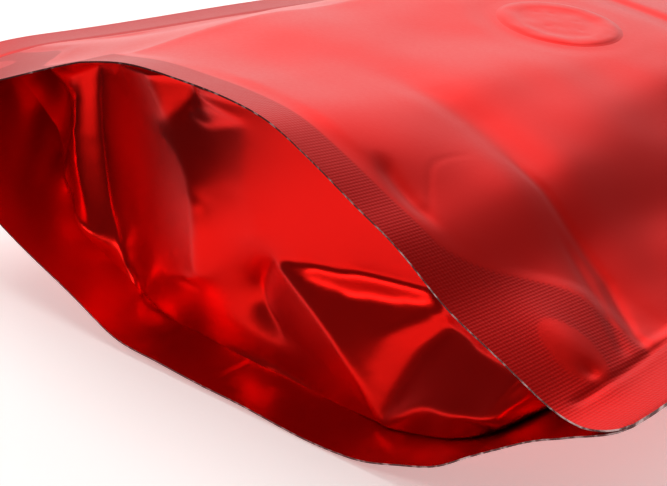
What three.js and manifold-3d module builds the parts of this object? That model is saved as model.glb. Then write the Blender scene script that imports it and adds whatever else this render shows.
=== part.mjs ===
// Coffee bag: an empty foil stand-up pouch lying on its back panel, its bottom gusset
// pushed in and its two bottom flaps spread apart like a mouth.
// Millimetres, +Z up. +Y runs from the gusset end to the flat top seal, +X across the
// width. The origin is on the surface the bag lies on, under the middle of its box.
import * as THREE from 'three';
import { mergeVertices } from 'three/addons/utils/BufferGeometryUtils.js';
import Module from 'manifold-3d';

// ---- driving dimensions ---------------------------------------------------------
const WIDTH = 160;          // flat width of the pouch
const LENGTH = 235;         // gusset edge to top seal edge
const FILM = 0.6;           // wall of the flaps, flanges and seals (real film pair 0.25)
const CORNER_R = 4.5;       // rounded bottom corners
const FLANGE = 0.90;        // share of the half width inside the side seals
const BACK_FLAT = 0.45;     // share of the half width that lies on the ground
const SEAL_MID = 6.6;       // front seal band at the middle of the gusset edge
const SEAL_SIDE = 20;       // seal band near the corners, where it runs up the sides
const BACK_SEAL = 10.5;     // back seal band at the middle
const FOLD_MID = 18.5;      // depth of the gusset's centre fold at the middle
const FOLD_SIDE = 25;       // depth of the fold near the corners
const FOLD_SHARE = 0.36;    // height of the fold between the two flaps
const RIDGE = { x: -22, rise: 4, left: 14, right: 12 };   // long soft ridge on the front panel
const VALVE = { x: 2.5, v: 82, r: 10.3, rim: 1.5, dish: 0.7, seat: 0.8, gap: 0.3 };
const ACROSS = 44;          // columns over the width
const ALONG = 28;           // rows over the length

// ---- a smooth curve through a few named heights ----------------------------------
// knots is x0, y0, x1, y1, ...; start and end are end slopes, null for a free end
function curve(knots, start = null, end = null) {
  const n = knots.length / 2, xs = [], ys = [];
  for (let i = 0; i < n; i++) { xs.push(knots[2 * i]); ys.push(knots[2 * i + 1]); }
  const h = xs.slice(1).map((x, i) => x - xs[i]);
  const lo = new Array(n).fill(0), di = new Array(n).fill(1), hi = new Array(n).fill(0), r = new Array(n).fill(0);
  for (let i = 1; i < n - 1; i++) {
    lo[i] = h[i - 1]; di[i] = 2 * (h[i - 1] + h[i]); hi[i] = h[i];
    r[i] = 3 * ((ys[i + 1] - ys[i]) / h[i] - (ys[i] - ys[i - 1]) / h[i - 1]);
  }
  if (start !== null) { di[0] = 2 * h[0]; hi[0] = h[0]; r[0] = 3 * ((ys[1] - ys[0]) / h[0] - start); }
  if (end !== null) {
    const m = n - 1;
    di[m] = 2 * h[m - 1]; lo[m] = h[m - 1]; r[m] = 3 * (end - (ys[m] - ys[m - 1]) / h[m - 1]);
  }
  for (let i = 1; i < n; i++) { const w = lo[i] / di[i - 1]; di[i] -= w * hi[i - 1]; r[i] -= w * r[i - 1]; }
  const c = new Array(n).fill(0);
  c[n - 1] = r[n - 1] / di[n - 1];
  for (let i = n - 2; i >= 0; i--) c[i] = (r[i] - hi[i] * c[i + 1]) / di[i];
  return (x) => {
    x = Math.min(Math.max(x, xs[0]), xs[n - 1]);
    let i = 0;
    while (i < n - 2 && x >= xs[i + 1]) i++;
    const t = x - xs[i];
    const b = (ys[i + 1] - ys[i]) / h[i] - h[i] * (2 * c[i] + c[i + 1]) / 3;
    return ys[i] + t * (b + t * (c[i] + t * (c[i + 1] - c[i]) / (3 * h[i])));
  };
}
const clamp01 = (t) => Math.min(Math.max(t, 0), 1);
const smooth = (a, b, x) => { const t = clamp01((x - a) / (b - a)); return t * t * (3 - 2 * t); };

// ---- heights along the bag, against v, the distance from the gusset edge ----------
const midline = curve([0, 49.2, 20, 45.3, 52, 40.4, 92, 36.2, 140, 29.5, 180, 19.0, 206, 8.0, 222, 1.8, 235, 1.0], -0.215, 0);
const seamR = curve([0, 21.5, 20, 22.6, 60, 21.6, 92, 19.0, 140, 12.0, 180, 5.5, 206, 2.0, 222, 0.9, 235, 0.6], 0.06, 0);
const seamL = curve([0, 28.6, 22, 32.2, 35, 31.0, 60, 27.8, 86, 24.3, 140, 14.5, 180, 6.8, 206, 2.3, 222, 0.9, 235, 0.6], 0.30, 0);
const halfR = curve([0, 73.3, 9, 74.2, 24, 73.5, 60, 74.5, 92, 75.5, 140, 77.2, 180, 78.6, 222, 80, 235, WIDTH / 2], 0.15, 0);
const halfL = curve([0, 75.6, 22, 73.2, 60, 72.8, 92, 74.2, 140, 77, 180, 78.6, 222, 80, 235, WIDTH / 2], null, 0);

// ---- the lips at the gusset edge, as a share of a height, against the half width ---
const lipR = curve([0, 1, .076, .993, .13, .98, .207, .94, .281, .859, .355, .762, .434, .653, .503, .563, .566, .458, .63, .339, .723, .217, .814, .105, .903, .011, 1, 0], 0, 0);
const lipL = curve([0, 1, .088, 1, .172, .985, .275, .91, .335, .844, .414, .739, .577, .498, .72, .29, .86, .09, 1, 0], 0, 0);
const backR = curve([0, .035, .126, .03, .281, .005, .373, .018, .441, .05, .542, .163, .64, .306, .686, .418, .731, .525, .776, .627, .82, .726, .863, .81, .905, .88, .95, .955, 1, 1], 0);
const backL = curve([0, .028, .153, .044, .263, .068, .363, .177, .487, .308, .614, .45, .72, .6, .82, .75, .91, .89, 1, 1], 0);

const half = (s, v) => (s >= 0 ? halfR(v) : halfL(v));
const seam = (s, v) => (s >= 0 ? seamR(v) : seamL(v));

// front panel: height at s, from -1 at the left edge to 1 at the right, and v
function front(s, v) {
  const a = clamp01(Math.abs(s)), z0 = seam(s, v), k = smooth(30, 170, v);
  const lip = s >= 0 ? lipR(a) : lipL(a);
  const pillow = Math.cos(Math.PI / 2 * clamp01(a / FLANGE) ** 1.25) ** 1.35;
  const d = s * half(s, v) - RIDGE.x;
  const ridge = RIDGE.rise * smooth(4, 45, v) * (1 - smooth(105, 185, v)) / Math.cosh(d / (d < 0 ? RIDGE.left : RIDGE.right));
  return z0 + (midline(v) - z0) * ((1 - k) * lip + k * pillow) + ridge * (1 - smooth(0.7, FLANGE, a));
}

// back panel: flat on the ground in the middle, curling up to the side seams
function back(s, v) {
  const a = clamp01(Math.abs(s)), k = smooth(4, 60, v);
  const lip = s >= 0 ? backR(a) : backL(a);
  const pillow = Math.sin(Math.PI / 2 * clamp01((a - BACK_FLAT) / (FLANGE - BACK_FLAT)) ** 1.3) ** 2;
  return Math.max(0, (seam(s, v) - FILM) * ((1 - k) * lip + k * pillow));
}

// where a column starts, behind the rounded corner
function cornerStart(s) {
  const over = Math.abs(s) * half(s, 0) - (half(s, 0) - CORNER_R);
  return over <= 0 ? 0 : CORNER_R - Math.sqrt(Math.max(0, CORNER_R ** 2 - over ** 2));
}
const place = (s, v, z) => [s * half(s, v), v - LENGTH / 2, z];

// ---- a closed body from rings of equal size, capped at both ends -------------------
function loft(rings) {
  const n = rings[0].length, pos = [], idx = [];
  rings.forEach((ring) => ring.forEach((p) => pos.push(...p)));
  for (let i = 0; i < rings.length - 1; i++) {
    for (let j = 0; j < n; j++) {
      const a = i * n + j, b = i * n + (j + 1) % n;
      idx.push(a, b + n, b, a, a + n, b + n);
    }
  }
  return { pos, idx, n, rings: rings.length };
}
// both ends are long and thin, so each is closed by strips between its two long sides
function capEnds(body) {
  const n = body.n;
  for (const [ring, flip] of [[0, false], [body.rings - 1, true]]) {
    const o = ring * n, tri = (a, b, c) => body.idx.push(...(flip ? [o + a, o + c, o + b] : [o + a, o + b, o + c]));
    for (let j = 0; j < n - 1 - j; j++) {
      const a = j, b = j + 1, c = n - 2 - j, d = n - 1 - j;
      if (b < d) tri(a, b, d);
      if (b < c) tri(b, c, d);
    }
  }
}
function solid({ pos, idx }) {
  const g = new THREE.BufferGeometry();
  g.setAttribute('position', new THREE.Float32BufferAttribute(pos, 3));
  g.setIndex(idx);
  const m = mergeVertices(g, 1e-4);
  const out = [], src = m.index.array, p = m.attributes.position.array;
  for (let i = 0; i < src.length; i += 3) {
    const [a, b, c] = [src[i], src[i + 1], src[i + 2]];
    if (a !== b && b !== c && a !== c) out.push(a, b, c);
  }
  return new wasm.Manifold(new wasm.Mesh({ numProp: 3, vertProperties: new Float32Array(p), triVerts: new Uint32Array(out) }));
}
function geometry(manifold) {
  const m = manifold.getMesh();
  const g = new THREE.BufferGeometry();
  g.setAttribute('position', new THREE.BufferAttribute(m.vertProperties.slice(), 3));
  g.setIndex(new THREE.BufferAttribute(m.triVerts.slice(), 1));
  g.computeVertexNormals();
  return g;
}
const wasm = await Module();
wasm.setup();

// ---- the pillow body: front panel over back panel, column by column ----------------
const columns = [];
for (let i = 0; i <= ACROSS; i++) columns.push(Math.sin(Math.PI / 2 * (2 * i / ACROSS - 1)) * 0.35 + (2 * i / ACROSS - 1) * 0.65);
const rows = [];
for (let j = 0; j <= ALONG; j++) rows.push((j / ALONG) ** 1.5);
const bodyRings = columns.map((s) => {
  const v0 = cornerStart(s), ring = [];
  rows.forEach((t) => { const v = v0 + (LENGTH - v0) * t; ring.push(place(s, v, front(s, v))); });
  rows.slice().reverse().forEach((t) => { const v = v0 + (LENGTH - v0) * t; ring.push(place(s, v, back(s, v))); });
  return ring;
});
const body = loft(bodyRings);
capEnds(body);

// ---- the recess between the two flaps, closed at its back by the gusset ------------
const REACH = { left: -0.915, right: 0.912 };
const recessColumns = columns.filter((s) => s > REACH.left && s < REACH.right);
const STEPS_FLAP = 4, STEPS_FILM = 4;
const recessRings = recessColumns.map((s) => {
  const a = Math.abs(s), side = smooth(0.52, 0.70, a), ring = [];
  const sealFront = SEAL_MID + (SEAL_SIDE - SEAL_MID) * side;
  const sealBack = BACK_SEAL + (SEAL_SIDE - BACK_SEAL) * side;
  const fold = FOLD_MID + (FOLD_SIDE - FOLD_MID) * side;
  const hi = (v) => front(s, v) - FILM, lo = (v) => back(s, v) + FILM;
  const gap = (v) => Math.max(0.25, hi(v) - lo(v)), mid = (v) => (hi(v) + lo(v)) / 2;
  const top = (v) => mid(v) + gap(v) / 2, bottom = (v) => mid(v) - gap(v) / 2;
  const zFold = bottom(fold) + (top(fold) - bottom(fold)) * FOLD_SHARE;
  ring.push(place(s, -8, bottom(0)));
  for (let k = 0; k <= STEPS_FLAP; k++) { const v = sealBack * k / STEPS_FLAP; ring.push(place(s, v, bottom(v))); }
  for (let k = 1; k <= STEPS_FILM; k++) {
    const t = k / STEPS_FILM;
    ring.push(place(s, sealBack + (fold - sealBack) * Math.sin(Math.PI / 2 * t), bottom(sealBack) + (zFold - bottom(sealBack)) * t));
  }
  for (let k = 1; k <= STEPS_FILM; k++) {
    const t = k / STEPS_FILM;
    ring.push(place(s, fold - (fold - sealFront) * t ** 1.4, zFold + (top(sealFront) - zFold) * t));
  }
  for (let k = STEPS_FLAP - 1; k >= 0; k--) { const v = sealFront * k / STEPS_FLAP; ring.push(place(s, v, top(v))); }
  ring.push(place(s, -8, top(0)));
  return ring.reverse();
});
const recess = loft(recessRings);
capEnds(recess);

// ---- the one-way valve, a low disc let into the front panel ------------------------
const vs = VALVE.x / halfR(VALVE.v), dz = 2;
const at = new THREE.Vector3(...place(vs, VALVE.v, front(vs, VALVE.v)));
const slopeX = (front((VALVE.x + dz) / halfR(VALVE.v), VALVE.v) - front((VALVE.x - dz) / halfR(VALVE.v), VALVE.v)) / (2 * dz);
const slopeY = (front(vs, VALVE.v + dz) - front(vs, VALVE.v - dz)) / (2 * dz);
const normal = new THREE.Vector3(-slopeX, -slopeY, 1).normalize();
const turn = new THREE.Quaternion().setFromUnitVectors(new THREE.Vector3(0, 1, 0), normal);
function turned(profile, segments) {
  const g = new THREE.LatheGeometry(profile.map(([r, y]) => new THREE.Vector2(r, y)), segments);
  g.deleteAttribute('normal'); g.deleteAttribute('uv');
  g.applyQuaternion(turn); g.translate(at.x, at.y, at.z);
  return { pos: Array.from(g.attributes.position.array), idx: Array.from(g.index.array) };
}
const pocket = solid(turned([[0, -VALVE.seat - VALVE.gap], [VALVE.r + VALVE.gap, -VALVE.seat - VALVE.gap], [VALVE.r + VALVE.gap, 6], [0, 6]], 36));
const disc = solid(turned([
  [0, -VALVE.seat], [VALVE.r, -VALVE.seat], [VALVE.r, VALVE.rim - 0.6], [VALVE.r - 0.7, VALVE.rim],
  [VALVE.r - 2.0, VALVE.rim], [VALVE.r - 3.2, VALVE.dish], [0, VALVE.dish + 0.15]], 36));

const bagSolid = solid(body).subtract(solid(recess)).subtract(pocket);

// ---- the scene graph ---------------------------------------------------------------
const foil = new THREE.MeshStandardMaterial({ color: 0xc41a18, roughness: 0.38, metalness: 0.85 });
const foilOverValve = new THREE.MeshStandardMaterial({ color: 0xc41a18, roughness: 0.38, metalness: 0.85 });

const bag = new THREE.Mesh(geometry(bagSolid), foil);
bag.name = 'bag';
const valve = new THREE.Mesh(geometry(disc), foilOverValve);
valve.name = 'valve';

const coffeeBag = new THREE.Group();
coffeeBag.add(bag, valve);

export default coffeeBag;
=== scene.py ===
import math

import bpy
import numpy as np
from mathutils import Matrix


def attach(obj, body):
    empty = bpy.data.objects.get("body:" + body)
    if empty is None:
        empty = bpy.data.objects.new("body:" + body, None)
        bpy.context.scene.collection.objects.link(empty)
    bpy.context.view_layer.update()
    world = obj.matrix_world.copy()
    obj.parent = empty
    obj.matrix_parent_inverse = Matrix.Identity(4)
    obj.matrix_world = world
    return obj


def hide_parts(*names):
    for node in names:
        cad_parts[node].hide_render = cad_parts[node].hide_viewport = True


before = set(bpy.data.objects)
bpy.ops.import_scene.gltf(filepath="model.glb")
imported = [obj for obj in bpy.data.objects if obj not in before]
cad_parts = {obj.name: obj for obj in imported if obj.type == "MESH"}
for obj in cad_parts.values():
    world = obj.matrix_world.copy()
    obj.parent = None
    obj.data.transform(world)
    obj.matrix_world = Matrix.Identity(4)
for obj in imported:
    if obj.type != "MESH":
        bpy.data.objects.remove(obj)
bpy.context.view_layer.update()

# ---------------------------------------------------------------- sizes, in millimetres
LENGTH = 235.0
WIDTH = 160.0
FILM = 0.28  # two welded films
CORNER_R = 4.5
FLANGE = 0.90
BACK_FLAT = 0.45
VALVE = dict(x=2.5, v=82.0, r=10.3)
KNURL = 0.77 * math.sqrt(2)
COLUMNS = 300


# ---------------------------------------------------------------- smooth curves
def curve(*knots, start=None, end=None):
    xs = np.array(knots[0::2], float)
    ys = np.array(knots[1::2], float)
    n = len(xs)
    h = np.diff(xs)
    a = np.zeros((n, n))
    r = np.zeros(n)
    for i in range(1, n - 1):
        a[i, i - 1], a[i, i], a[i, i + 1] = h[i - 1], 2 * (h[i - 1] + h[i]), h[i]
        r[i] = 3 * ((ys[i + 1] - ys[i]) / h[i] - (ys[i] - ys[i - 1]) / h[i - 1])
    a[0, 0] = a[-1, -1] = 1
    if start is not None:
        a[0, 0], a[0, 1] = 2 * h[0], h[0]
        r[0] = 3 * ((ys[1] - ys[0]) / h[0] - start)
    if end is not None:
        a[-1, -1], a[-1, -2] = 2 * h[-1], h[-1]
        r[-1] = 3 * (end - (ys[-1] - ys[-2]) / h[-1])
    c = np.linalg.solve(a, r)
    b = np.diff(ys) / h - h * (2 * c[:-1] + c[1:]) / 3
    d = np.diff(c) / (3 * h)

    def at(x):
        x = np.clip(np.asarray(x, float), xs[0], xs[-1])
        i = np.clip(np.searchsorted(xs, x, side="right") - 1, 0, n - 2)
        t = x - xs[i]
        return ys[i] + t * (b[i] + t * (c[i] + t * d[i]))

    return at


def smooth(a, b, x):
    t = np.clip((np.asarray(x, float) - a) / (b - a), 0, 1)
    return t * t * (3 - 2 * t)


midline = curve(0, 49.2, 20, 45.3, 52, 40.4, 92, 36.2, 140, 29.5, 180, 19.0, 206, 8.0, 222, 1.8, 235, 1.0, start=-0.215, end=0)
seam_r = curve(0, 21.5, 20, 22.6, 60, 21.6, 92, 19.0, 140, 12.0, 180, 5.5, 206, 2.0, 222, 0.9, 235, 0.6, start=0.06, end=0)
seam_l = curve(0, 28.6, 22, 32.2, 35, 31.0, 60, 27.8, 86, 24.3, 140, 14.5, 180, 6.8, 206, 2.3, 222, 0.9, 235, 0.6, start=0.30, end=0)
half_r = curve(0, 73.3, 9, 74.2, 24, 73.5, 60, 74.5, 92, 75.5, 140, 77.2, 180, 78.6, 222, 80, 235, 80, start=0.15, end=0)
half_l = curve(0, 75.6, 22, 73.2, 60, 72.8, 92, 74.2, 140, 77, 180, 78.6, 222, 80, 235, 80, end=0)
lip_r = curve(0, 1, .076, .993, .13, .98, .207, .94, .281, .859, .355, .762, .434, .653, .503, .563, .566, .458, .63, .339, .723, .217, .814, .105, .903, .011, 1, 0, start=0, end=0)
lip_l = curve(0, 1, .088, 1, .172, .985, .275, .91, .335, .844, .414, .739, .577, .498, .72, .29, .86, .09, 1, 0, start=0, end=0)
back_r = curve(0, .035, .126, .03, .281, .005, .373, .018, .441, .05, .542, .163, .64, .306, .686, .418, .731, .525, .776, .627, .82, .726, .863, .81, .905, .88, .95, .955, 1, 1, start=0)
back_l = curve(0, .028, .153, .044, .263, .068, .363, .177, .487, .308, .614, .45, .72, .6, .82, .75, .91, .89, 1, 1, start=0)


def half(s, v):
    return np.where(s >= 0, half_r(v), half_l(v))


def seam(s, v):
    return np.where(s >= 0, seam_r(v), seam_l(v))


def front_base(s, v):
    a = np.clip(np.abs(s), 0, 1)
    z0 = seam(s, v)
    k = smooth(30, 170, v)
    lip = np.where(s >= 0, lip_r(a), lip_l(a))
    pillow = np.cos(np.pi / 2 * np.clip(a / FLANGE, 0, 1) ** 1.25) ** 1.35
    d = s * half(s, v) + 22
    ridge = 4.0 * smooth(4, 45, v) * (1 - smooth(105, 185, v)) / np.cosh(d / np.where(d < 0, 14, 12))
    return z0 + (midline(v) - z0) * ((1 - k) * lip + k * pillow) + ridge * (1 - smooth(0.7, FLANGE, a))


def back_base(s, v):
    a = np.clip(np.abs(s), 0, 1)
    k = smooth(4, 60, v)
    lip = np.where(s >= 0, back_r(a), back_l(a))
    pillow = np.sin(np.pi / 2 * np.clip((a - BACK_FLAT) / (FLANGE - BACK_FLAT), 0, 1) ** 1.3) ** 2
    return np.maximum(0, (seam(s, v) - 0.6) * ((1 - k) * lip + k * pillow))


# ---------------------------------------------------------------- creases and dents
def path_distance(x, y, path):
    """Distance to a polyline, the share of its length at the nearest point, and the side."""
    best = np.full(np.shape(x), 1e9)
    share = np.zeros(np.shape(x))
    side = np.ones(np.shape(x))
    p = np.array(path, float)
    seg = np.hypot(*np.diff(p, axis=0).T)
    total, run = seg.sum(), 0.0
    for (ax, ay), (bx, by), l in zip(p[:-1], p[1:], seg):
        t = np.clip(((x - ax) * (bx - ax) + (y - ay) * (by - ay)) / l ** 2, 0, 1)
        dx, dy = x - (ax + t * (bx - ax)), y - (ay + t * (by - ay))
        d = np.hypot(dx, dy)
        near = d < best
        best = np.where(near, d, best)
        share = np.where(near, (run + t * l) / total, share)
        side = np.where(near, np.sign((bx - ax) * dy - (by - ay) * dx), side)
        run += l
    return best, share, side


def groove(x, y, path, depth, left, right=None, ends=(0.15, 0.2)):
    """A soft valley (or with a negative depth a ridge) along a path, fading out at both ends."""
    d, t, side = path_distance(x, y, path)
    w = np.where(side > 0, left, right or left)
    fade = smooth(0, ends[0], t) * (1 - smooth(1 - ends[1], 1, t))
    return -depth * fade * np.exp(-(d / w) ** 2)


def dome(x, y, at, radii, height, turn=0.0):
    c, s = math.cos(math.radians(turn)), math.sin(math.radians(turn))
    dx, dy = x - at[0], y - at[1]
    u, w = (dx * c + dy * s) / radii[0], (-dx * s + dy * c) / radii[1]
    return height * np.exp(-(u * u + w * w))


def ripples(x, y, seed, sizes, heights):
    """Gentle random unevenness, the same each run."""
    rng = np.random.RandomState(seed)
    z = np.zeros(np.shape(x))
    for size, h in zip(sizes, heights):
        for _ in range(7):
            a, p = rng.uniform(0, 2 * math.pi, 2)
            k = 2 * math.pi / (size * rng.uniform(0.75, 1.35))
            z += h * rng.uniform(0.5, 1) * np.sin(k * (x * math.cos(a) + y * math.sin(a)) + p + 0.9 * np.sin(k * 0.37 * (x * math.sin(a) - y * math.cos(a)) + 2 * p))
    return z / 3


def seal_line(s, v_mid, v_side, rise=(0.47, 0.70)):
    a = np.abs(s)
    return v_mid + (v_side - v_mid) * smooth(rise[0], rise[1], a)


def front_seal(s):
    """Inner edge of the knurled band along the front lip, distance from the edge."""
    return seal_line(s, 6.4, 19.5, (0.53, 0.74))


def back_seal(s):
    return seal_line(s, 10.5, 20.0, (0.52, 0.74))


def valve_frame():
    s = VALVE["x"] / half_r(VALVE["v"])
    e = 6.0
    sx = (front_shape((VALVE["x"] + e) / half_r(VALVE["v"]), VALVE["v"], False) - front_shape((VALVE["x"] - e) / half_r(VALVE["v"]), VALVE["v"], False)) / (2 * e)
    sy = (front_shape(s, VALVE["v"] + e, False) - front_shape(s, VALVE["v"] - e, False)) / (2 * e)
    return float(front_shape(s, VALVE["v"], False)), float(sx), float(sy)


def front_shape(s, v, valve=True):
    s, v = np.asarray(s, float), np.asarray(v, float)
    x = s * half(s, v)
    z = front_base(s, v)
    free = 1 - smooth(0.86, 0.895, np.abs(s))
    inside = smooth(0, 4, v - front_seal(s)) * free
    # the long ridge has a crisp crest
    d, t, side = path_distance(x, v, [(-24.5, -3), (-23, 30), (-22, 60), (-20, 95)])
    z = z + 0.75 * np.exp(-np.sqrt(d * d + 0.5) / np.where(side > 0, 4.0, 3.0)) * (1 - smooth(0.45, 1, t)) * smooth(-3, 6, v)
    # soft valley across the right flank towards the corner, with a swell behind it
    z = z + groove(x, v, [(4, 36), (13, 34), (22.6, 35), (32.4, 33.6), (42, 30.6), (53, 25.5), (66, 19)], 0.42, 4.6, 3.4, (0.2, 0.12)) * free
    z = z + groove(x, v, [(20, 44), (34, 41), (46, 35), (58, 27), (66, 22)], -0.10, 4.5, 4.5, (0.3, 0.2)) * free
    # low shoulder to the right of the valve, from the mouth side down to the seal
    z = z + groove(x, v, [(24, 112), (27, 78), (31, 54), (35, 36), (41, 13)], -1.0, 9.0, 9.0, (0.35, 0.2)) * free
    z = z + groove(x, v, [(57, 96), (58, 60), (59, 38), (60, 20)], 0.65, 10.0, 10.0, (0.3, 0.1)) * free
    # two crisp creases running out to the corner
    z = z + groove(x, v, [(28, 33), (38, 32), (46, 29.5), (53, 27), (62, 21), (67, 20)], 0.24, 1.0, 1.0, (0.25, 0.05)) * free
    z = z + groove(x, v, [(43, 28.5), (49, 25.5), (55, 22.3), (60, 19), (65, 15.5)], 0.16, 0.9, 0.9, (0.25, 0.1)) * free
    # streak-like dimple just inside the seal
    z = z + groove(x, v, [(24, 12.5), (28, 10.2), (33, 8.6), (39, 8.2)], 0.35, 1.5, 1.5, (0.3, 0.3)) * inside
    # fine L-shaped hairline crease
    z = z + groove(x, v, [(36.5, 8.9), (32.1, 13.8), (29.4, 17.2), (28.4, 19.5), (28.4, 22.6), (28.9, 28.7)], 0.035, 0.42, 0.42, (0.1, 0.25)) * inside
    # straight soft fold across the bag behind the valve
    z = z + groove(x, v, [(-60, 105), (-20, 104.5), (20, 104), (66, 103)], 0.55, 1.6, 4.0, (0.2, 0.12)) * free
    # sharp line where the free film leaves the side weld
    z = z - 0.28 * np.exp(-((np.abs(s) - 0.893) * half(s, v) / 0.60) ** 2) * smooth(1.5, 5, v) * (1 - smooth(205, 222, v))
    # bubble in the corner seal, with a round dimple
    z = z + dome(x, v, (60.5, 10.2), (6.2, 3.6), 0.55, -8) - dome(x, v, (63.7, 9.2), (1.3, 1.1), 0.35)
    # unevenness of the free film
    z = z + ripples(x, v, 5, (46, 24, 13), (0.42, 0.16, 0.05)) * inside * (1 - smooth(200, 222, v))
    if valve:
        z0, sx, sy = VALVE_AT
        dx, dy = x - VALVE["x"], v - VALVE["v"]
        r = np.hypot(dx, dy)
        plane = z0 + sx * dx + sy * dy
        pull = 1 - smooth(VALVE["r"] + 0.2, VALVE["r"] + 6.5, r)
        z = z + (plane - z) * pull + 0.12 * np.exp(-((r - VALVE["r"]) / 1.5) ** 2) * (r > VALVE["r"] - 0.6)
    return z


def back_shape(s, v):
    s, v = np.asarray(s, float), np.asarray(v, float)
    x = s * half(s, v)
    z = back_base(s, v)
    lift = smooth(0.4, 2.5, z) * (1 - smooth(0.86, 0.895, np.abs(s)))
    z = z + ripples(x, v, 11, (38, 20, 12), (0.5, 0.22, 0.07)) * lift * smooth(6, 16, v) * (1 - smooth(200, 222, v))
    return np.maximum(z, 0)


VALVE_AT = valve_frame()


# ---------------------------------------------------------------- the gusset film
# Points on the crumpled film between the flaps: x, height above the ground, depth behind
# the lips. The film is flat between them; creases run from point to point.
NODES = {
    "l0": (-40.9, 36.2, 13.0), "l1": (-42.1, 26.1, 12.9), "l2": (-40.4, 17.0, 12.5), "l3": (-36.5, 8.7, 11.4), "l4": (-31.1, 3.3, 11.3),
    "v0": (-37.8, 39.6, 13.3), "v1": (-39.0, 30.6, 15.2), "v2": (-38.2, 22.1, 15.2), "v3": (-36.4, 14.9, 14.4), "v4": (-32.1, 8.7, 12.7),
    "v5": (-24.7, 2.7, 10.3), "c0": (-30.3, 40.3, 11.3), "c1": (-27.6, 33.1, 11.0), "c2": (-26.0, 25.2, 10.9), "c3": (-24.1, 17.3, 10.5),
    "c4": (-19.6, 10.9, 9.1), "k0": (-25.5, 43.2, 8.3), "k1": (-21.5, 38.9, 8.1), "k2": (-15.3, 35.9, 7.2), "k3": (-10.4, 33.9, 6.5),
    "k4": (-7.6, 29.3, 6.5), "k5": (-7.3, 21.9, 6.5), "k6": (-8.5, 13.8, 7.3), "b0": (-17.1, 44.9, 6.5), "b1": (-14.2, 45.4, 6.5),
    "b2": (-13.3, 42.2, 6.5), "b3": (-13.0, 39.1, 6.7), "b4": (-7.9, 45.1, 7.3), "b5": (-9.7, 40.2, 7.5), "d0": (-4.9, 39.1, 7.1),
    "d1": (-3.7, 34.4, 7.2), "d2": (-5.0, 29.3, 6.9), "d3": (2.6, 42.0, 7.2), "d4": (1.8, 35.7, 7.8), "d5": (1.2, 29.7, 8.3),
    "e0": (-5.1, 26.8, 7.1), "e1": (-2.2, 25.6, 8.0), "e2": (3.5, 25.4, 9.4), "f0": (-6.4, 24.9, 6.7), "f1": (-3.4, 23.3, 7.8),
    "f2": (1.4, 22.3, 9.3), "f3": (3.4, 21.1, 10.4), "p1": (4.8, 19.3, 11.1), "g0": (-5.9, 20.4, 7.2), "g1": (-3.2, 18.4, 8.8),
    "g2": (-6.5, 15.0, 7.8), "g3": (-1.3, 15.0, 10.7), "r0": (8.9, 45.5, 7.4), "r1": (11.8, 40.4, 9.4), "r2": (17.6, 36.1, 11.4),
    "r3": (24.0, 30.7, 13.9), "r4": (11.4, 31.4, 10.8), "r5": (15.4, 25.6, 12.8), "r6": (27.9, 25.0, 16.1), "j0": (-10.9, 7.3, 9.3),
    "j1": (-2.6, 6.8, 10.7), "j2": (7.8, 4.7, 11.0), "w0": (0.7, 14.4, 12.4), "w1": (1.0, 10.2, 12.6), "w2": (5.0, 8.0, 11.8),
    "w3": (10.7, 7.2, 10.7), "w4": (19.6, 5.0, 9.8), "x0": (7.9, 17.8, 10.4), "x1": (13.1, 15.5, 9.5), "x2": (19.1, 11.8, 8.9),
    "x3": (24.3, 6.6, 9.0), "y0": (11.1, 17.1, 9.9), "y1": (16.5, 14.6, 9.5), "y2": (22.3, 11.0, 9.7), "y3": (25.6, 8.1, 10.1),
    "u0": (12.5, 20.2, 12.6), "u1": (18.9, 20.6, 14.3), "u2": (25.0, 21.0, 16.2), "u3": (29.9, 20.9, 17.1), "o0": (13.7, 18.8, 11.4),
    "o1": (19.1, 18.4, 12.0), "o2": (24.4, 18.7, 13.7), "o3": (31.9, 19.8, 16.2), "m0": (25.1, 14.1, 11.4), "m1": (28.4, 16.1, 13.5),
    "m2": (31.5, 17.7, 15.3), "q0": (26.5, 5.0, 9.8), "p2": (27.3, 0.9, 9.9), "t0": (28.5, 6.4, 11.4), "t1": (30.7, 12.7, 14.2),
    "t2": (34.4, 16.7, 16.3), "z0": (34.9, 7.2, 9.5), "z1": (37.5, 12.5, 12.8), "z2": (41.3, 17.2, 14.5), "s0": (46.8, 9.7, 8.8),
    "s1": (48.4, 13.2, 10.3), "s2": (50.1, 16.1, 12.1), "s3": (48.5, 12.0, 9.6), "s4": (50.7, 14.5, 11.7),
}
PIN = 0.0
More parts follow.
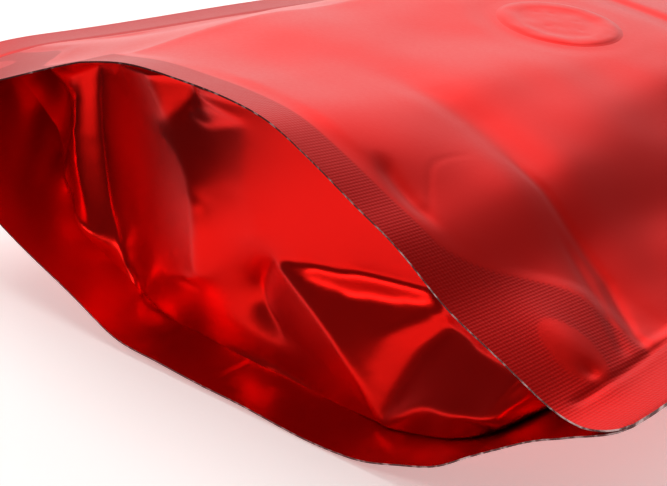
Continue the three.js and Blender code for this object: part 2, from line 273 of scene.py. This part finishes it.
# Facets between the creases: corners, depth gained per sideways millimetre and per millimetre
# of height, and how firmly the facet keeps them.
FACETS = [
    ("l0 v0 v1 v2 l2 l1", 0.9, 0.0, 3), ("l2 v2 v3 v4 v5 l4 l3", 0.9, 0.0, 3),
    ("v0 c0 c1 c2 c3 c4 v5 v4 v3 v2 v1", -0.45, -0.05, 3), ("c0 k0 k1 k2 k3 k4 k5 k6 c4 c3 c2 c1", -0.42, -0.05, 3),
    ("k0 b0 b1 b2 b3 k2 k1", 0.05, -0.35, 2), ("b1 b4 b5 b3 b2", 0.8, -0.10, 2),
    ("k2 b3 b5 d0 d3 d4 d5 d2 d1 k3", 0.10, -0.06, 1.5), ("k3 d1 d2 d5 e2 f2 f1 f0 e0 k4", 0.10, -0.03, 2.5),
    ("b4 d3 d4 d5 e2 f2 f3 p1 u0 u1 u2 u3 r6 r3 r2 r1 r0", 0.22, -0.16, 1.5),
    ("k4 f0 f1 f2 f3 p1 w0 g3 g1 g2 k6 k5", 0.18, -0.05, 1.5), ("k6 g2 g1 g3 w0 w1 w2 w3 j2 j1 j0", 0.10, -0.05, 0.7),
    ("p1 x0 x1 x2 x3 p2 w4 w3 w2 w1 w0", -0.60, 0.0, 3), ("p1 y0 y1 y2 y3 q0 p2 x3 x2 x1 x0", 0.60, 0.10, 3),
    ("p1 o0 o1 o2 o3 m2 m1 m0 y3 y2 y1 y0", -0.05, 0.50, 2), ("p1 u0 u1 u2 u3 o3 o2 o1 o0", 0.34, 1.35, 6),
    ("y3 m0 m1 m2 t2 t1 t0 p2 q0", 0.52, 0.12, 6), ("p2 t0 t1 t2 s2 s1 s0 z0", -0.50, 0.75, 4),
    ("s0 s1 s2 s4 s3", 0.65, 0.15, 8),
]
STEP = 0.5


def inside(x, z, corners):
    hit = np.zeros(x.shape, bool)
    p = [NODES[k][:2] for k in corners.split()]
    for (ax, az), (bx, bz) in zip(p, p[1:] + p[:1]):
        if az == bz:
            continue
        hit ^= ((az > z) != (bz > z)) & (x < (bx - ax) * (z - az) / (bz - az) + ax)
    return hit


def film_depth(x, z, top, low):
    """Depth of the gusset film over x and height: the surface whose slopes come closest to
    those of the facets, held at its two welded edges. top and low give, for any x, the height
    and depth of those edges."""
    gx = np.arange(-64, 64 + STEP / 2, STEP)
    gz = np.arange(0, 50 + STEP / 2, STEP)
    GX, GZ = np.meshgrid(gx, gz, indexing="ij")
    zt, dt = [f[:, None] for f in top(gx)]
    zb, db = [f[:, None] for f in low(gx)]
    up = np.clip((zt - GZ) / (zt - zb), 0, 1)
    fold = 18.5 + 6.0 * smooth(40, 54, np.abs(GX))
    base = np.where(up < 0.64, dt + (fold - dt) * (1 - (1 - np.clip(up / 0.64, 0, 1)) ** 2.6), db + (fold - db) * np.sin(np.pi / 2 * np.clip((1 - up) / 0.36, 0, 1)))
    base = np.where(GZ >= zt, dt, np.where(GZ <= zb, db, base))
    fixed = (GZ >= zt) | (GZ <= zb) | (np.abs(GX) > 60)
    a, c = np.gradient(base, STEP)
    w = np.full(GX.shape, 0.12)
    foot = (GZ - zb < 9) & (np.abs(GX) < 48)
    c[foot], w[foot] = -0.10, 0.9
    for corners, fa, fc, hold in FACETS:
        m = inside(GX, GZ, corners)
        a[m], c[m], w[m] = fa, fc, hold
    w = w * (0.04 + 0.96 * smooth(1.5, 5.0, zt - GZ)) * (0.08 + 0.92 * smooth(0.2, 1.8, GZ - zb))
    a, c, w = soften(a, 1), soften(c, 1), soften(w, 1)
    pin = np.zeros(GX.shape)
    goal = np.zeros(GX.shape)
    for px, pz, pd in NODES.values():
        i, j = int(round((px - gx[0]) / STEP)), int(round(pz / STEP))
        pin[i, j], goal[i, j] = PIN, pd
    wx = (w[1:] + w[:-1]) / 2
    wz = (w[:, 1:] + w[:, :-1]) / 2
    sx = wx * STEP * (a[1:] + a[:-1]) / 2
    sz = wz * STEP * (c[:, 1:] + c[:, :-1]) / 2
    free = ~fixed

    def apply(d):
        o = pin * d
        ex, ez = wx * (d[1:] - d[:-1]), wz * (d[:, 1:] - d[:, :-1])
        o[1:] += ex
        o[:-1] -= ex
        o[:, 1:] += ez
        o[:, :-1] -= ez
        return o

    rhs = pin * goal
    rhs[1:] += sx
    rhs[:-1] -= sx
    rhs[:, 1:] += sz
    rhs[:, :-1] -= sz
    diag = pin.copy() + 1e-9
    diag[1:] += wx
    diag[:-1] += wx
    diag[:, 1:] += wz
    diag[:, :-1] += wz
    d = base.copy()
    r = (rhs - apply(d)) * free
    q = r / diag
    p = q.copy()
    rq = (r * q).sum()
    for _ in range(900):
        ap = apply(p) * free
        k = rq / (p * ap).sum()
        d += k * p
        r -= k * ap
        q = r / diag
        new = (r * q).sum()
        if new < 1e-9:
            break
        p = q + new / rq * p
        rq = new
    fx = np.clip((x - gx[0]) / STEP, 0, len(gx) - 1.001)
    fz = np.clip((z - gz[0]) / STEP, 0, len(gz) - 1.001)
    i, j = fx.astype(int), fz.astype(int)
    u, v = fx - i, fz - j
    return d[i, j] * (1 - u) * (1 - v) + d[i + 1, j] * u * (1 - v) + d[i, j + 1] * (1 - u) * v + d[i + 1, j + 1] * u * v


def soften(a, passes):
    for _ in range(passes):
        p = np.pad(a, 1, mode="edge")
        a = (p[1:-1, 1:-1] * 4 + (p[:-2, 1:-1] + p[2:, 1:-1] + p[1:-1, :-2] + p[1:-1, 2:]) * 2 + p[:-2, :-2] + p[2:, :-2] + p[:-2, 2:] + p[2:, 2:]) / 16
    return a


# ---------------------------------------------------------------- the film as one closed surface
def build_film():
    s = np.linspace(-1, 1, COLUMNS + 1)
    s = s * 0.94 + 0.06 * np.sin(np.pi / 2 * s)
    near = np.linspace(0, 118, 215)
    far = 118 + (LENGTH - 118) * np.linspace(0, 1, 64)[1:]
    rows = np.concatenate([near, far])
    over = np.abs(s) * half(s, 0 * s) - (half(s, 0 * s) - CORNER_R)
    v0 = np.where(over > 0, CORNER_R - np.sqrt(np.maximum(0, CORNER_R ** 2 - over ** 2)), 0)
    S = s[:, None]
    V0 = v0[:, None]

    # front panel, mouth to lip
    vf = V0 + (LENGTH - V0) * (rows / LENGTH)[None, ::-1]
    zf = front_shape(S + 0 * vf, vf)
    # recess: front flap's inside, gusset, back flap's inside
    edge = smooth(1.0, 0.93, np.abs(s))  # the recess closes towards the corners
    sf = v0 + np.maximum(0.25, (front_seal(s)) * edge - v0 * edge)
    sb = v0 + np.maximum(0.25, (back_seal(s)) * edge - v0 * edge)

    def hi(v):
        return front_shape(S + 0 * v, v) - FILM

    def lo(v):
        return back_shape(S + 0 * v, v) + FILM

    def parted(v):
        a, b = hi(v), lo(v)
        gap = np.maximum(a - b, 0.03)
        mid = (a + b) / 2
        return mid + gap / 2, mid - gap / 2

    ti = np.linspace(0, 1, 16)[None, :]
    vi = V0 + (sf[:, None] - V0) * ti
    zi = parted(vi)[0]
    vj = V0 + (sb[:, None] - V0) * ti[:, ::-1]
    zj = parted(vj)[1]
    tg = np.linspace(0, 1, 132)[None, :]
    ztop, zbot = zi[:, -1:], zj[:, :1]
    zg = ztop + (zbot - ztop) * tg
    fold = 18.5 + 6.0 * smooth(0.52, 0.70, np.abs(s))
    fold = v0 + (fold - v0) * edge + 0.3
    share = 1 - 0.36
    up = np.clip(tg / share, 0, 1)
    dn = np.clip((1 - tg) / (1 - share), 0, 1)
    base = np.where(tg < share, sf[:, None] + (fold - sf)[:, None] * (1 - (1 - up) ** 2.6), sb[:, None] + (fold - sb)[:, None] * np.sin(np.pi / 2 * dn))
    xg = S * half(S + 0 * zg, base)
    xc = s * half(s, 0 * s + 12)

    def edge_line(zs, ds):
        return lambda x: (np.interp(x, xc, zs), np.interp(x, xc, ds))

    d = film_depth(xg, zg, edge_line(ztop[:, 0], sf), edge_line(zbot[:, 0], sb))
    keep = 1 - smooth(0.72, 0.80, np.abs(S))
    d = soften(base + (d - base) * keep, 1)
    d[:, 0], d[:, -1] = sf, sb
    vg = d
    # back panel, lip to mouth
    rb = np.concatenate([np.linspace(0, 40, 42), 40 + (LENGTH - 40) * np.linspace(0, 1, 70)[1:]])
    vb = V0 + (LENGTH - V0) * (rb / LENGTH)[None, :]
    zb = np.minimum(back_shape(S + 0 * vb, vb), front_shape(S + 0 * vb, vb) - FILM)
    zf = np.maximum(zf, FILM)

    V = np.concatenate([vf, vi, vg[:, 1:-1], vj, vb], axis=1)
    Z = np.concatenate([zf, zi, zg[:, 1:-1], zj, zb], axis=1)
    Z = np.maximum(Z, 0)
    X = S * half(S + 0 * V, V)
    n = V.shape[1]
    parts = np.concatenate([np.full(vf.shape[1], 0), np.full(vi.shape[1], 1), np.full(vg.shape[1] - 2, 2), np.full(vj.shape[1], 3), np.full(vb.shape[1], 4)])

    # flat-film coordinates, from lengths along the surface
    P = np.stack([X, V, Z], -1)
    du = np.zeros_like(X)
    du[1:] = np.cumsum(np.linalg.norm(np.diff(P, axis=0), axis=-1), axis=0)
    mid = len(s) // 2
    du -= du[mid:mid + 1]
    dv = np.zeros_like(X)
    dv[:, 1:] = np.cumsum(np.linalg.norm(np.diff(P, axis=1), axis=-1), axis=1)
    lipcol = vf.shape[1] - 1
    dv -= dv[:, lipcol:lipcol + 1]

    # welded zones
    fs, bs = front_seal(s)[:, None], back_seal(s)[:, None]
    sides = smooth(0.888, 0.897, np.abs(S)) + 0 * V
    mouth = smooth(LENGTH - 10.4, LENGTH - 9.8, V)
    isf = np.isin(parts, (0, 1))[None, :]
    isb = np.isin(parts, (3, 4))[None, :]
    seal = np.maximum(isf * (1 - smooth(-0.25, 0.25, V - fs)), isb * (1 - smooth(-0.25, 0.25, V - bs)))
    seal = np.maximum(seal, np.maximum(sides, mouth) * (parts != 2)[None, :])
    bubble = dome(X, V, (60.3, 10.0), (5.6, 3.4), 1.0, -8) * isf
    bubble_l = dome(X, V, (-61, 11), (4.6, 3.4), 1.0, 8) * isf
    seal = seal * (1 - smooth(0.30, 0.42, np.maximum(bubble, bubble_l)))
    seal = seal * np.isin(parts, (0, 4))[None, :]
    return s, X, V, Z, parts, du, dv, seal


def mesh_from(name, verts, faces, materials=()):
    me = bpy.data.meshes.new(name)
    verts = np.asarray(verts, np.float32)
    sizes = np.array([len(f) for f in faces]) if isinstance(faces, list) else np.full(len(faces), faces.shape[1])
    flat = np.concatenate([np.asarray(f) for f in faces]) if isinstance(faces, list) else faces.ravel()
    me.vertices.add(len(verts))
    me.vertices.foreach_set("co", verts.ravel())
    me.loops.add(len(flat))
    me.loops.foreach_set("vertex_index", flat.astype(np.int32))
    me.polygons.add(len(sizes))
    me.polygons.foreach_set("loop_start", np.concatenate([[0], np.cumsum(sizes)[:-1]]).astype(np.int32))
    me.polygons.foreach_set("loop_total", sizes.astype(np.int32))
    me.update(calc_edges=True)
    me.validate()
    for m in materials:
        me.materials.append(m)
    ob = bpy.data.objects.new(name, me)
    bpy.context.scene.collection.objects.link(ob)
    return ob


# ---------------------------------------------------------------- materials
def new_material(name):
    m = bpy.data.materials.new(name)
    m.use_nodes = True
    t = m.node_tree
    t.nodes.clear()
    out = t.nodes.new("ShaderNodeOutputMaterial")
    bsdf = t.nodes.new("ShaderNodeBsdfPrincipled")
    t.links.new(bsdf.outputs[0], out.inputs[0])
    return m, t, bsdf


def node(t, kind, **sets):
    n = t.nodes.new(kind)
    for k, v in sets.items():
        setattr(n, k, v)
    return n


def math_node(t, op, a, b=None, c=None):
    n = node(t, "ShaderNodeMath", operation=op)
    for i, x in enumerate((a, b, c)):
        if x is None:
            continue
        if isinstance(x, (int, float)):
            n.inputs[i].default_value = x
        else:
            t.links.new(x, n.inputs[i])
    return n.outputs[0]


def foil_material(name, knurled=True):
    m, t, b = new_material(name)
    b.inputs["Metallic"].default_value = 1.0
    b.inputs["IOR"].default_value = 1.5
    b.inputs["Coat Weight"].default_value = 0.11
    b.inputs["Coat Roughness"].default_value = 0.30
    b.inputs["Coat IOR"].default_value = 1.5
    geo = node(t, "ShaderNodeNewGeometry")
    coord = node(t, "ShaderNodeTexCoord")
    # uneven tint and sheen of the laminate
    big = node(t, "ShaderNodeTexNoise")
    big.inputs["Scale"].default_value = 38
    big.inputs["Detail"].default_value = 3
    t.links.new(coord.outputs["Object"], big.inputs["Vector"])
    fine = node(t, "ShaderNodeTexNoise")
    fine.inputs["Scale"].default_value = 1500
    fine.inputs["Detail"].default_value = 4
    t.links.new(coord.outputs["Object"], fine.inputs["Vector"])
    mix = node(t, "ShaderNodeMix", data_type="RGBA")
    mix.inputs["A"].default_value = (0.78, 0.0035, 0.0010, 1)
    mix.inputs["B"].default_value = (0.86, 0.0050, 0.0018, 1)
    t.links.new(big.outputs["Fac"], mix.inputs["Factor"])
    tint = mix.outputs["Result"]
    rough = math_node(t, "MULTIPLY_ADD", fine.outputs["Fac"], 0.10, 0.30)
    height = math_node(t, "MULTIPLY", fine.outputs["Fac"], 0.010)
    if knurled:
        att = node(t, "ShaderNodeAttribute", attribute_name="flat")
        sep = node(t, "ShaderNodeSeparateXYZ")
        t.links.new(att.outputs["Vector"], sep.inputs[0])
        u, v, seal = sep.outputs
        k = 2 * math.pi / KNURL
        p = math_node(t, "SINE", math_node(t, "MULTIPLY", math_node(t, "ADD", u, v), k))
        q = math_node(t, "SINE", math_node(t, "MULTIPLY", math_node(t, "SUBTRACT", u, v), k))
        lattice = math_node(t, "MULTIPLY", p, q)
        knurl = math_node(t, "MULTIPLY", math_node(t, "MULTIPLY", lattice, seal), 0.010)
        height = math_node(t, "ADD", height, knurl)
        rough = math_node(t, "ADD", rough, math_node(t, "MULTIPLY", seal, 0.06))
        inner = node(t, "ShaderNodeAttribute", attribute_name="inner")
        rough = math_node(t, "MULTIPLY_ADD", inner.outputs["Fac"], -0.03, rough)
        dull = node(t, "ShaderNodeMix", data_type="RGBA")
        dull.inputs["B"].default_value = (0.56, 0.0020, 0.0006, 1)
        t.links.new(seal, dull.inputs["Factor"])
        t.links.new(tint, dull.inputs["A"])
        tint = dull.outputs["Result"]
    t.links.new(tint, b.inputs["Base Color"])
    bump = node(t, "ShaderNodeBump")
    bump.inputs["Strength"].default_value = 1.0
    bump.inputs["Distance"].default_value = 0.001
    t.links.new(height, bump.inputs["Height"])
    t.links.new(bump.outputs["Normal"], b.inputs["Normal"])
    t.links.new(bump.outputs["Normal"], b.inputs["Coat Normal"])
    t.links.new(rough, b.inputs["Roughness"])
    return m


def edge_material():
    """The cut edge of the laminate: pale plastic with a darker metal line and nicks."""
    m, t, b = new_material("cut_edge")
    b.inputs["Metallic"].default_value = 0.2
    b.inputs["Roughness"].default_value = 0.45
    coord = node(t, "ShaderNodeTexCoord")
    n = node(t, "ShaderNodeTexNoise")
    n.inputs["Scale"].default_value = 900
    n.inputs["Detail"].default_value = 3
    t.links.new(coord.outputs["Object"], n.inputs["Vector"])
    sep = node(t, "ShaderNodeSeparateXYZ")
    t.links.new(coord.outputs["Object"], sep.inputs[0])
    # the cut edge is darker towards the left (-x) side of the bag, by position alone
    darker_leftward = node(t, "ShaderNodeMapRange")
    darker_leftward.inputs["From Min"].default_value = -0.02
    darker_leftward.inputs["From Max"].default_value = 0.06
    darker_leftward.inputs["To Min"].default_value = -0.13
    darker_leftward.inputs["To Max"].default_value = 0.0
    t.links.new(sep.outputs[0], darker_leftward.inputs["Value"])
    ramp = node(t, "ShaderNodeValToRGB")
    ramp.color_ramp.elements[0].position = 0.44
    ramp.color_ramp.elements[0].color = (0.10, 0.015, 0.015, 1)
    ramp.color_ramp.elements[1].position = 0.64
    ramp.color_ramp.elements[1].color = (0.62, 0.42, 0.41, 1)
    t.links.new(math_node(t, "ADD", n.outputs["Fac"], darker_leftward.outputs[0]), ramp.inputs[0])
    t.links.new(ramp.outputs[0], b.inputs["Base Color"])
    return m


def floor_material():
    m, t, b = new_material("studio_floor")
    b.inputs["Roughness"].default_value = 0.9
    b.inputs["Specular IOR Level"].default_value = 0.1
    coord = node(t, "ShaderNodeTexCoord")
    n = node(t, "ShaderNodeTexNoise")
    n.inputs["Scale"].default_value = 6
    t.links.new(coord.outputs["Object"], n.inputs["Vector"])
    mix = node(t, "ShaderNodeMix", data_type="RGBA")
    mix.inputs["A"].default_value = (0.84, 0.80, 0.79, 1)
    mix.inputs["B"].default_value = (0.87, 0.83, 0.82, 1)
    t.links.new(n.outputs["Fac"], mix.inputs["Factor"])
    # the white sheet ends a little way in front of the bag, at the left
    sep = node(t, "ShaderNodeSeparateXYZ")
    t.links.new(coord.outputs["Object"], sep.inputs[0])
    away = math_node(t, "ADD", math_node(t, "MULTIPLY", sep.outputs[0], -619.0), math_node(t, "MULTIPLY", math_node(t, "ADD", sep.outputs[1], LENGTH / 2000), -785.0))
    table = node(t, "ShaderNodeMapRange", interpolation_type="SMOOTHSTEP")
    table.inputs["From Min"].default_value = 32.0
    table.inputs["From Max"].default_value = 64.0
    t.links.new(away, table.inputs["Value"])
    dark = node(t, "ShaderNodeMix", data_type="RGBA")
    dark.inputs["B"].default_value = (0.07, 0.07, 0.07, 1)
    t.links.new(table.outputs[0], dark.inputs["Factor"])
    t.links.new(mix.outputs["Result"], dark.inputs["A"])
    t.links.new(dark.outputs["Result"], b.inputs["Base Color"])
    # light shining up through the sheet keeps it white under the overhanging flaps
    b.inputs["Emission Color"].default_value = (1.0, 0.90, 0.88, 1)
    t.links.new(math_node(t, "MULTIPLY_ADD", table.outputs[0], -0.38, 0.38), b.inputs["Emission Strength"])
    return m


foil = foil_material("red_foil")
cover = foil_material("red_foil_valve", False)
cut = edge_material()

# ---------------------------------------------------------------- film
s, X, V, Z, parts, du, dv, seal = build_film()
rows_n = X.shape[1]
cols_n = X.shape[0]
verts = np.stack([X, V - LENGTH / 2, Z], -1).reshape(-1, 3) / 1000
ii, jj = np.meshgrid(np.arange(cols_n - 1), np.arange(rows_n), indexing="ij")
jn = (jj + 1) % rows_n
quads = np.stack([ii * rows_n + jj, ii * rows_n + jn, (ii + 1) * rows_n + jn, (ii + 1) * rows_n + jj], -1)
a_part, b_part = parts[jj], parts[jn]
rim_face = ((a_part == 0) & (b_part == 1)) | ((a_part == 3) & (b_part == 4)) | (jj == rows_n - 1)
quads_flat = quads.reshape(-1, 4)
mat_index = rim_face.reshape(-1).astype(np.int32)
caps = []
half_way = int(np.where(parts == 2)[0].mean())
for col, flip in ((0, False), (cols_n - 1, True)):
    # the cut side edge, stitched between the front and the back at equal distances from the mouth
    o = col * rows_n
    front_chain = list(range(half_way + 1))
    back_chain = list(range(rows_n - 1, half_way, -1))
    away = [[LENGTH - V[col, k] if parts[k] in (0, 4) else LENGTH + 1 + n / 400 for n, k in enumerate(ch)] for ch in (front_chain, back_chain)]
    i = j = 0
    while i < len(front_chain) - 1 or j < len(back_chain) - 1:
        if j == len(back_chain) - 1 or (i < len(front_chain) - 1 and away[0][i + 1] <= away[1][j + 1]):
            f = [o + front_chain[i], o + back_chain[j], o + front_chain[i + 1]]
            i += 1
        else:
            f = [o + front_chain[i], o + back_chain[j], o + back_chain[j + 1]]
            j += 1
        caps.append(f[::-1] if flip else f)
faces = [q for q in quads_flat] + [np.array(f) for f in caps]
mat_index = np.concatenate([mat_index, np.ones(len(caps), np.int32)])
film = mesh_from("film", verts, faces, (foil, cut))
me = film.data
me.polygons.foreach_set("material_index", mat_index)
me.polygons.foreach_set("use_smooth", np.ones(len(me.polygons), bool))
att = me.attributes.new("flat", "FLOAT_VECTOR", "POINT")
att.data.foreach_set("vector", np.stack([du, dv, seal], -1).astype(np.float32).ravel())
att = me.attributes.new("inner", "FLOAT", "POINT")
att.data.foreach_set("value", np.broadcast_to(np.isin(parts, (1, 2, 3)).astype(np.float32), X.shape).ravel())
# crisp rims
sharp = me.attributes.new("sharp_edge", "BOOLEAN", "EDGE")
ev = np.zeros(len(me.edges) * 2, np.int32)
me.edges.foreach_get("vertices", ev)
ev = ev.reshape(-1, 2)
rim_rows = np.zeros(rows_n, bool)
for j in range(rows_n):
    k = (j + 1) % rows_n
    if (parts[j], parts[k]) in ((0, 1), (3, 4)) or j == rows_n - 1:
        rim_rows[j] = rim_rows[k] = True
    if (parts[j], parts[k]) == (2, 3):
        rim_rows[k] = True
r0, r1 = ev[:, 0] % rows_n, ev[:, 1] % rows_n
c0, c1 = ev[:, 0] // rows_n, ev[:, 1] // rows_n
end = ((c0 == 0) & (c1 == 0)) | ((c0 == cols_n - 1) & (c1 == cols_n - 1))
sharp.data.foreach_set("value", ((r0 == r1) & rim_rows[r0]) | end)
me.update()
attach(film, "root")
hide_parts("bag")

# ---------------------------------------------------------------- film drawn over the valve
profile = [(0.0, 0.30), (1.2, 0.30), (2.6, 0.28), (4.2, 0.26), (5.4, 0.26), (6.2, 0.29), (6.9, 0.35), (7.5, 0.43), (8.1, 0.47),
           (8.8, 0.48), (9.4, 0.44), (9.9, 0.34), (10.3, 0.22), (10.8, 0.10), (11.3, -0.06), (11.5, -0.4)]
rr = np.array([p[0] for p in profile])
hh = np.array([p[1] for p in profile])
SPIN = 96
ring_r = np.interp(np.linspace(0, len(rr) - 1, 61), np.arange(len(rr)), rr)
ring_h = np.interp(np.linspace(0, len(rr) - 1, 61), np.arange(len(rr)), hh)
ring_h = np.convolve(np.pad(ring_h, 2, mode="edge"), np.ones(5) / 5, mode="valid")
th = np.linspace(0, 2 * math.pi, SPIN, endpoint=False)
z0, sx, sy = VALVE_AT
vx, vy, vz = [], [], []
pts = []
for r, h in zip(ring_r[1:], ring_h[1:]):
    x = VALVE["x"] + r * np.cos(th)
    y = VALVE["v"] + r * np.sin(th)
    z = z0 + sx * (x - VALVE["x"]) + sy * (y - VALVE["v"])
    wrinkle = 0.06 * np.sin(3 * th + 1) * smooth(3, 6.5, r) * (1 - smooth(7, 9, r)) + ripples(x, y, 3, (7, 4), (0.05, 0.025)) * (1 - smooth(9, 10.5, r))
    pits = sum(-0.05 * np.exp(-((x - VALVE["x"] - px) ** 2 + (y - VALVE["v"] - py) ** 2) / 0.5) for px, py in ((-5.2, 0.6), (-3.6, 2.4), (1.2, 3.2), (4.4, 0.4), (0.2, -3.4)))
    pts.append(np.stack([x, y - LENGTH / 2, z + h + wrinkle + pits], -1))
pts = np.concatenate([np.array([[VALVE["x"], VALVE["v"] - LENGTH / 2, z0 + ring_h[0]]])] + pts)
vf = []
for k in range(SPIN):
    vf.append([0, 1 + k, 1 + (k + 1) % SPIN])
for j in range(len(ring_r) - 2):
    for k in range(SPIN):
        a = 1 + j * SPIN + k
        b = 1 + j * SPIN + (k + 1) % SPIN
        vf.append([a, a + SPIN, b + SPIN, b])
# closed underneath, inside the bag
base0 = len(pts)
pts = np.concatenate([pts, [[VALVE["x"], VALVE["v"] - LENGTH / 2, z0 - 1.2]]])
o = 1 + (len(ring_r) - 2) * SPIN
for k in range(SPIN):
    vf.append([base0, o + (k + 1) % SPIN, o + k])
valve = mesh_from("valve_cover", pts / 1000, vf, (cover,))
valve.data.polygons.foreach_set("use_smooth", np.ones(len(valve.data.polygons), bool))
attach(valve, "root")
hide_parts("valve")

# ---------------------------------------------------------------- floor, light and camera
floor = mesh_from("floor", [(-4, -4, -0.0002), (4, -4, -0.0002), (4, 4, -0.0002), (-4, 4, -0.0002)], [[0, 1, 2, 3]], (floor_material(),))


def area(name, at, to, size, power, colour=(1, 1, 1)):
    from mathutils import Vector

    d = bpy.data.lights.new(name, "AREA")
    d.shape = "RECTANGLE"
    d.size, d.size_y = size
    d.energy = power
    d.color = colour
    o = bpy.data.objects.new(name, d)
    o.location = at
    o.rotation_euler = (Vector(to) - Vector(at)).to_track_quat("-Z", "Y").to_euler()
    bpy.context.scene.collection.objects.link(o)
    return o


area("key_top", (-0.65, 0.05, 1.45), (0, -0.05, 0), (1.0, 1.0), 13)


def studio_world():
    """Soft room light: a bright wall at the back left, a softbox above it, a dim room elsewhere."""
    w = bpy.data.worlds.new("studio")
    bpy.context.scene.world = w
    w.use_nodes = True
    t = w.node_tree
    t.nodes.clear()
    out = t.nodes.new("ShaderNodeOutputWorld")
    bg = t.nodes.new("ShaderNodeBackground")
    t.links.new(bg.outputs[0], out.inputs[0])
    co = node(t, "ShaderNodeTexCoord")
    sep = node(t, "ShaderNodeSeparateXYZ")
    t.links.new(co.outputs["Generated"], sep.inputs[0])
    x, y, z = sep.outputs
    az = math_node(t, "MULTIPLY", math_node(t, "ARCTAN2", x, y), 180 / math.pi)
    el = math_node(t, "MULTIPLY", math_node(t, "ARCSINE", z), 180 / math.pi)

    def step(v, a, b):
        n = node(t, "ShaderNodeMapRange", interpolation_type="SMOOTHSTEP")
        n.inputs["From Min"].default_value = min(a, b)
        n.inputs["From Max"].default_value = max(a, b)
        n.inputs["To Min"].default_value = 0.0 if a < b else 1.0
        n.inputs["To Max"].default_value = 1.0 if a < b else 0.0
        t.links.new(v, n.inputs["Value"])
        return n.outputs[0]

    def mul(*v):
        r = v[0]
        for k in v[1:]:
            r = math_node(t, "MULTIPLY", r, k)
        return r

    wall = mul(step(az, -8, -27), step(az, -112, -78), step(el, -12, 9), step(el, 62, 46), 0.80)
    box = mul(step(az, -2, -16), step(az, -80, -55), step(el, 28, 37), step(el, 54, 44), 0.95)
    back = mul(step(az, -110, -80), step(az, 90, 60), 0.14)
    right = mul(step(az, 70, 95), step(az, 145, 128), step(el, 8, 20), step(el, 75, 60), 1.0)
    front = mul(step(el, 30, 5), 0.10)
    spot = mul(step(az, -178, -169), step(az, -142, -151), step(el, 40, 45), step(el, 56, 51), 7.0)
    total = math_node(t, "ADD", math_node(t, "ADD", wall, box), math_node(t, "ADD", back, 0.06))
    total = math_node(t, "ADD", total, math_node(t, "ADD", right, math_node(t, "ADD", front, spot)))
    t.links.new(total, bg.inputs["Strength"])
    bg.inputs["Color"].default_value = (1, 0.995, 0.985, 1)


studio_world()

cam_data = bpy.data.cameras.new("camera")
cam_data.sensor_width = 36
cam_data.lens = 36 * 2000 / 667
cam_data.clip_start = 0.01
cam = bpy.data.objects.new("camera", cam_data)
cam.location = (0.19414, -0.17853 - LENGTH / 2000, 0.14721)
cam.rotation_euler = (math.radians(65), 0, math.radians(43.1))
bpy.context.scene.collection.objects.link(cam)
bpy.context.scene.camera = cam

bpy.context.scene.view_settings.view_transform = "Standard"
